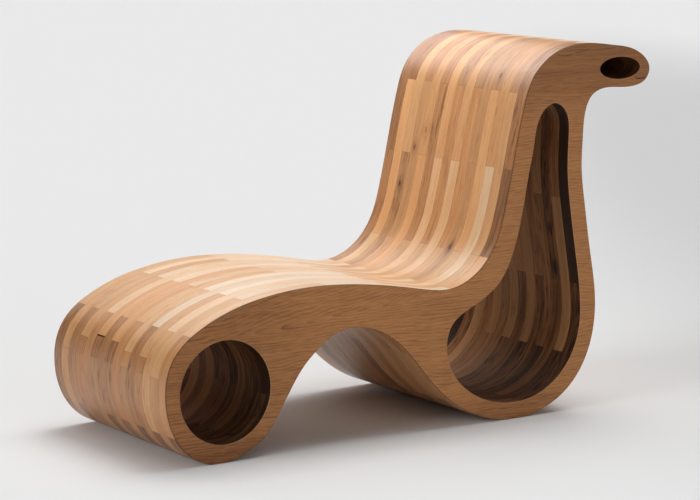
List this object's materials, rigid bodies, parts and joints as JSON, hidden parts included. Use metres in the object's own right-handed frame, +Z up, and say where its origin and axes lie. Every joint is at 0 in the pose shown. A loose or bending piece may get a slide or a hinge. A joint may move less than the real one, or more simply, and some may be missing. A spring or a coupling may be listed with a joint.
{
  "type": "lounge chair",
  "caption": "Sculptural stack-laminated oak lounge chair in one continuous curved ribbon, with a round bore through the front roll, an open rear loop and a slot through the head.",
  "frame": {"origin": "on the floor, under the middle of the whole chair", "axes": "+Z up, +X from the foot end to the head, -Y to the sitter's left"},
  "size_m": [1.5728, 0.6004, 1.0287],
  "materials": {
    "oak_ribs": "oiled satin oak, end-butted staves in mixed tones",
    "oak_facing": "oiled satin oak, one sawn face with long grain",
    "dowel_beech": "turned beech, hidden inside the stack"
  },
  "bodies": {
    "root": {"lamination_01_foot": "oak_ribs", "lamination_01_seat": "oak_ribs", "lamination_01_back": "oak_ribs", "lamination_02_foot": "oak_ribs", "lamination_02_seat": "oak_ribs", "lamination_02_back": "oak_ribs", "lamination_03_foot": "oak_ribs", "lamination_03_seat": "oak_ribs", "lamination_03_back": "oak_ribs", "lamination_04_foot": "oak_ribs", "lamination_04_seat": "oak_ribs", "lamination_04_back": "oak_ribs", "lamination_05_foot": "oak_ribs", "lamination_05_seat": "oak_ribs", "lamination_05_back": "oak_ribs", "lamination_06_foot": "oak_ribs", "lamination_06_seat": "oak_ribs", "lamination_06_back": "oak_ribs", "lamination_07_foot": "oak_ribs", "lamination_07_seat": "oak_ribs", "lamination_07_back": "oak_ribs", "lamination_08_foot": "oak_ribs", "lamination_08_seat": "oak_ribs", "lamination_08_back": "oak_ribs", "lamination_09_foot": "oak_ribs", "lamination_09_seat": "oak_ribs", "lamination_09_back": "oak_ribs", "lamination_10_foot": "oak_ribs", "lamination_10_seat": "oak_ribs", "lamination_10_back": "oak_ribs", "lamination_11_foot": "oak_ribs", "lamination_11_seat": "oak_ribs", "lamination_11_back": "oak_ribs", "lamination_12_foot": "oak_ribs", "lamination_12_seat": "oak_ribs", "lamination_12_back": "oak_ribs", "lamination_13_foot": "oak_ribs", "lamination_13_seat": "oak_ribs", "lamination_13_back": "oak_ribs", "lamination_14_foot": "oak_ribs", "lamination_14_seat": "oak_ribs", "lamination_14_back": "oak_ribs", "lamination_15_foot": "oak_ribs", "lamination_15_seat": "oak_ribs", "lamination_15_back": "oak_ribs", "facing_left": "oak_facing", "facing_right": "oak_facing", "dowel_foot_front": "dowel_beech", "dowel_foot_rear": "dowel_beech", "dowel_seat_front": "dowel_beech", "dowel_seat_rear": "dowel_beech", "dowel_back_front": "dowel_beech", "dowel_back_rear": "dowel_beech"}
  },
  "joints": []
}
